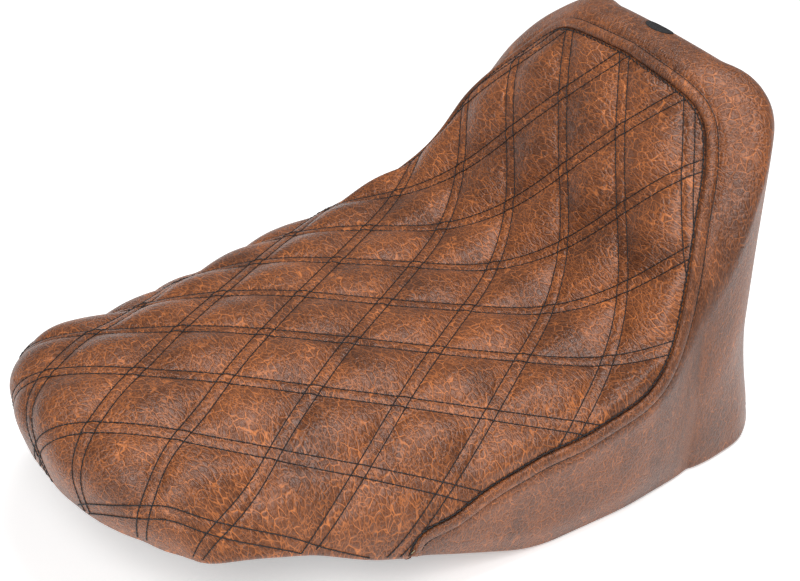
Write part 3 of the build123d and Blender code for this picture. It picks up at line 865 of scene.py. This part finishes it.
# Materials ------------------------------------------------------------------------------------------
class Nodes:
    """Small helper that adds and links shader nodes."""

    def __init__(self, name):
        self.material = bpy.data.materials.new(name)
        self.material.use_nodes = True
        self.tree = self.material.node_tree
        self.tree.nodes.clear()
        self.output = self.tree.nodes.new("ShaderNodeOutputMaterial")
        self.shader = self.tree.nodes.new("ShaderNodeBsdfPrincipled")
        self.tree.links.new(self.shader.outputs[0], self.output.inputs["Surface"])

    def add(self, kind, inputs=None, **settings):
        node = self.tree.nodes.new("ShaderNode" + kind)
        for key, value in settings.items():
            setattr(node, key, value)
        for key, value in (inputs or {}).items():
            if isinstance(value, bpy.types.NodeSocket):
                self.tree.links.new(value, node.inputs[key])
            else:
                node.inputs[key].default_value = value
        return node

    def place(self, scale=(1, 1, 1), uv=False):
        """Object coordinates, or the flat vinyl's, stretched by scale."""
        source = self.add("TexCoord").outputs["UV" if uv else "Object"]
        return self.add("Mapping", {"Vector": source, "Scale": scale}).outputs[0]

    def noise(self, vector, scale, detail=4.0, rough=0.55, distortion=0.0):
        inputs = {"Vector": vector, "Scale": scale, "Detail": detail, "Roughness": rough,
                  "Distortion": distortion}
        return self.add("TexNoise", inputs).outputs[0]

    def warp(self, vector, scale, amount):
        """The vector pushed about by noise."""
        noise = self.add("TexNoise", {"Vector": vector, "Scale": scale, "Detail": 3.0}).outputs[1]
        centred = self.add("VectorMath", {0: noise, 1: (0.5, 0.5, 0.5)}, operation="SUBTRACT").outputs[0]
        push = self.add("VectorMath", {0: centred, "Scale": amount}, operation="SCALE").outputs[0]
        return self.add("VectorMath", {0: vector, 1: push}, operation="ADD").outputs[0]

    def cracks(self, vector, scale):
        """Distance to the nearest edge of an irregular web."""
        return self.add("TexVoronoi", {"Vector": vector, "Scale": scale},
                        feature="DISTANCE_TO_EDGE").outputs[0]

    def math(self, operation, first, second=0.0, clamp=False):
        return self.add("Math", {0: first, 1: second}, operation=operation, use_clamp=clamp).outputs[0]

    def ramp(self, value, low, high, to_low=0.0, to_high=1.0):
        inputs = {"Value": value, "From Min": low, "From Max": high, "To Min": to_low, "To Max": to_high}
        return self.add("MapRange", inputs, interpolation_type="SMOOTHSTEP").outputs[0]

    def mix(self, share, first, second):
        node = self.add("Mix", data_type="RGBA")
        for socket, value in ((node.inputs[0], share), (node.inputs[6], first), (node.inputs[7], second)):
            if isinstance(value, bpy.types.NodeSocket):
                self.tree.links.new(value, socket)
            else:
                socket.default_value = value
        return node.outputs[2]

    def bump(self, height, distance, strength=1.0, under=None):
        inputs = {"Height": height, "Distance": distance, "Strength": strength}
        if under is not None:
            inputs["Normal"] = under
        return self.add("Bump", inputs).outputs[0]

    def shade(self, **values):
        for key, value in values.items():
            socket = self.shader.inputs[key.replace("_", " ")]
            if isinstance(value, bpy.types.NodeSocket):
                self.tree.links.new(value, socket)
            else:
                socket.default_value = value
        return self.material


def colour(red, green, blue):
    """A shader colour from everyday 0-255 values."""
    linear = [((v / 255 + 0.055) / 1.055) ** 2.4 if v > 10 else v / 3294.6 for v in (red, green, blue)]
    return (*linear, 1.0)


def distressed_vinyl(name, web, streak_from, streak, glow):
    """Brown pull-up vinyl: dark grain with a web of lighter orange creases.

    The creases lie across the seat from streak_from metres along it and are drawn out by streak.
    """
    n = Nodes(name)
    flat = n.place(uv=True)
    parts = n.add("SeparateXYZ", {"Vector": flat})
    along, across = parts.outputs[0], parts.outputs[1]
    drawn = n.ramp(along, streak_from, streak_from + 0.09, 1.0, streak)
    flat = n.add("CombineXYZ", {"X": along, "Y": n.math("MULTIPLY", across, drawn)}).outputs[0]
    bent = n.warp(flat, 60.0, 0.008)
    bent = n.warp(bent, 300.0, 0.0008)
    coarse = n.cracks(bent, web)
    fine = n.cracks(bent, web * 2.2)
    tiny = n.cracks(bent, web * 5.0)
    patches = n.noise(flat, 20.0, 5.0, 0.6)
    breaks = n.noise(flat, 110.0, 4.0, 0.65)
    strong = n.math("MULTIPLY", n.ramp(coarse, 0.01, 0.065, 1.0, 0.0), n.ramp(breaks, 0.38, 0.60, 0.15, 1.0))
    weak = n.math("MULTIPLY", n.ramp(fine, 0.02, 0.12, 1.0, 0.0), n.ramp(breaks, 0.60, 0.38, 0.30, 1.0))
    faint = n.ramp(tiny, 0.0, 0.22, 1.0, 0.0)
    veins = n.math("MAXIMUM", strong, n.math("MULTIPLY", weak, 0.72))
    veins = n.math("MAXIMUM", veins, n.math("MULTIPLY", faint, 0.16))
    worn = n.ramp(patches, 0.30, 0.66, glow * 0.45, glow)
    shown = n.math("MULTIPLY", veins, worn, clamp=True)
    ground = n.mix(n.ramp(patches, 0.32, 0.68), colour(68, 35, 18), colour(110, 61, 33))
    ground = n.mix(n.ramp(n.noise(bent, 900.0, 2.0), 0.4, 0.75, 0.0, 0.35), ground, colour(128, 80, 52))
    paint = n.mix(shown, ground, colour(204, 120, 62))
    pebbles = n.math("ADD", n.ramp(fine, 0.0, 0.3), n.math("MULTIPLY", n.ramp(tiny, 0.0, 0.3), 0.35))
    pebbles = n.math("ADD", pebbles, n.math("MULTIPLY", n.ramp(coarse, 0.0, 0.14), 1.0))
    normal = n.bump(pebbles, 0.00035, 0.9)
    normal = n.bump(n.noise(flat, 130.0, 3.0), 0.0006, 0.4, normal)
    rough = n.math("ADD", n.ramp(patches, 0.2, 0.8, 0.34, 0.44), n.math("MULTIPLY", shown, 0.10))
    n.shader.inputs["Coat Weight"].default_value = 0.14
    n.shader.inputs["Coat Roughness"].default_value = 0.36
    n.shader.inputs["Sheen Weight"].default_value = 0.06
    n.shader.inputs["Sheen Roughness"].default_value = 0.4
    return n.shade(Base_Color=paint, Roughness=rough, Normal=normal)


def plain(name, low, high, roughness, scale, depth, metallic=0.0):
    """A moulded, plated or rubber finish: two close colours and a fine texture."""
    n = Nodes(name)
    at = n.place()
    grain = n.noise(at, scale, 4.0)
    broad = n.noise(at, scale / 14, 3.0)
    paint = n.mix(n.ramp(broad, 0.3, 0.7), low, high)
    rough = n.ramp(broad, 0.25, 0.75, roughness - 0.06, roughness + 0.08)
    normal = n.bump(grain, depth, 0.5)
    n.shader.inputs["Metallic"].default_value = metallic
    return n.shade(Base_Color=paint, Roughness=rough, Normal=normal)


def black_thread():
    n = Nodes("black_thread")
    at = n.place()
    twist = n.add("TexWave", {"Vector": at, "Scale": 900.0, "Distortion": 2.0}).outputs[1]
    paint = n.mix(twist, colour(12, 11, 13), colour(34, 31, 34))
    rough = n.ramp(twist, 0, 1, 0.42, 0.6)
    return n.shade(Base_Color=paint, Roughness=rough, Normal=n.bump(twist, 0.0001, 0.6))


# Build ------------------------------------------------------------------------------------------
panel_vinyl = distressed_vinyl("panel_vinyl", 175.0, 0.04, 0.55, 1.0)
band_vinyl = distressed_vinyl("band_vinyl", 215.0, 0.20, 0.60, 0.80)
thread = black_thread()
panel = make_panel(panel_vinyl)
band, band_solid, band_normal, band_gap = make_band(band_vinyl)
make_quilting(thread)
make_seam_thread(thread)
make_topstitch(band_solid, band_normal, band_gap, thread)
make_oval(band, thread)

foam = plain("foam", colour(196, 188, 150), colour(214, 206, 172), 0.85, 900.0, 0.0006)


make_quilt_foam(panel, foam)
make_core((panel, band), foam)

plastic = plain("pan_plastic", colour(20, 20, 21), colour(34, 34, 35), 0.55, 1500.0, 0.0002)
rubber = plain("bumper_rubber", colour(16, 16, 16), colour(28, 28, 28), 0.7, 1200.0, 0.0002)
zinc = plain("zinc_steel", colour(150, 152, 150), colour(196, 198, 196), 0.38, 700.0, 0.0001, 1.0)
rivet_steel = plain("rivet_steel", colour(170, 170, 168), colour(205, 205, 203), 0.3, 900.0, 0.0001, 1.0)
staple_steel = plain("staple_steel", colour(180, 180, 178), colour(215, 215, 212), 0.28, 900.0, 0.0001, 1.0)
screw_steel = plain("screw_steel", colour(40, 40, 42), colour(66, 66, 68), 0.34, 900.0, 0.0001, 1.0)
nylon = plain("nylon", colour(214, 210, 198), colour(228, 226, 216), 0.5, 800.0, 0.0001)
NODE_FINISH = {
    "base_pan": plastic, "front_bracket": zinc, "rear_bracket": zinc, "front_backing_plate": zinc,
    "rear_backing_plate": zinc, "front_rivets": rivet_steel, "rear_rivets": rivet_steel,
    "cover_staples": staple_steel, "seat_screw": screw_steel, "retaining_washer": nylon,
}
NODE_FINISH.update({f"bumper_{number}": rubber for number in range(1, 7)})
for node, material in NODE_FINISH.items():
    for material_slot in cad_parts[node].material_slots:
        material_slot.material = material

# Stage ------------------------------------------------------------------------------------------
FLOOR = 4000.0  # half the floor's width
FLOOR_LEVEL = -0.4  # just under the rim that the seat stands on
EYE = Vector((-0.5182, -0.8018, 0.7906))
AHEAD = Vector((0.4499, 0.688, -0.5694)).normalized()
RIGHT = Vector((0.8368, -0.5474, -0.0003)).normalized()
camera_data = bpy.data.cameras.new("camera")
camera_data.sensor_width = 36.0
camera_data.lens = 71.34
camera = bpy.data.objects.new("camera", camera_data)
above = RIGHT.cross(AHEAD).normalized()
turn = Matrix((RIGHT, above, -AHEAD)).transposed()
camera.matrix_world = Matrix.Translation(EYE) @ turn.to_4x4()
bpy.context.scene.collection.objects.link(camera)
bpy.context.scene.camera = camera

floor_corners = [(FLOOR * x, FLOOR * y, FLOOR_LEVEL) for x, y in ((-1, -1), (1, -1), (1, 1), (-1, 1))]
floor = new_mesh("floor", floor_corners, [(0, 1, 2, 3)])
floor_look = Nodes("floor")
floor_look.shader.inputs["Emission Strength"].default_value = 0.38
floor.data.materials.append(floor_look.shade(Base_Color=colour(250, 250, 250), Roughness=0.9,
                                             Emission_Color=(1, 1, 1, 1)))


def area_light(name, place, target, size, power, tint=(1, 1, 1)):
    data = bpy.data.lights.new(name, "AREA")
    data.shape = "RECTANGLE"
    data.size, data.size_y = size
    data.energy = power
    data.color = tint
    light = bpy.data.objects.new(name, data)
    light.location = place
    light.rotation_euler = (Vector(target) - Vector(place)).to_track_quat("-Z", "Y").to_euler()
    bpy.context.scene.collection.objects.link(light)


area_light("overhead", (0.45, -0.05, 1.75), (0, 0, 0.1), (1.0, 1.0), 19)
area_light("near_left", (-0.85, -0.95, 1.45), (0, 0, 0.1), (0.8, 0.8), 21)
world = bpy.data.worlds.new("studio")
world.use_nodes = True
world.node_tree.nodes["Background"].inputs[0].default_value = (1, 1, 1, 1)
world.node_tree.nodes["Background"].inputs[1].default_value = 0.20
bpy.context.scene.world = world
bpy.context.scene.view_settings.view_transform = "Standard"
